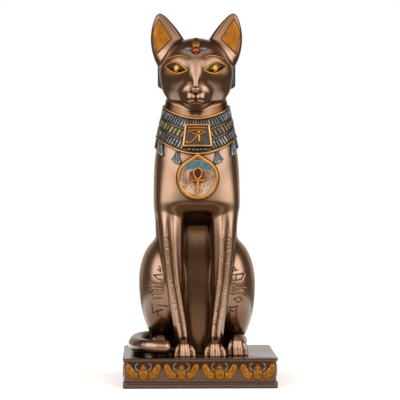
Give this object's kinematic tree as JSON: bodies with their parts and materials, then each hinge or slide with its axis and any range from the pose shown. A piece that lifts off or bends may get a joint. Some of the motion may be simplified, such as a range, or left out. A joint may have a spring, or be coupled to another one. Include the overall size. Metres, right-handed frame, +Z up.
{
  "type": "bastet statue",
  "caption": "Seated cat statue with a broad collar and ankh medallion, on a low rectangular plinth with a frieze of winged scarabs.",
  "frame": {"origin": "middle of the plinth's underside", "axes": "+Z up, the cat faces -Y, +X is on the viewer's right when facing the cat"},
  "size_m": [0.082, 0.07, 0.2],
  "materials": {
    "cat_bronze": "polished cold-cast bronze with dark wash in the recesses",
    "plinth_bronze": "dark satin bronze",
    "gold_paint": "metallic gold paint, rubbed on raised edges",
    "blue_enamel": "blue paint with a dark wash",
    "red_enamel": "red-brown paint",
    "green_enamel": "green paint",
    "eye_black": "gloss black paint"
  },
  "bodies": {
    "root": {"seated_cat": "cat_bronze", "plinth": "plinth_bronze"}
  },
  "joints": []
}
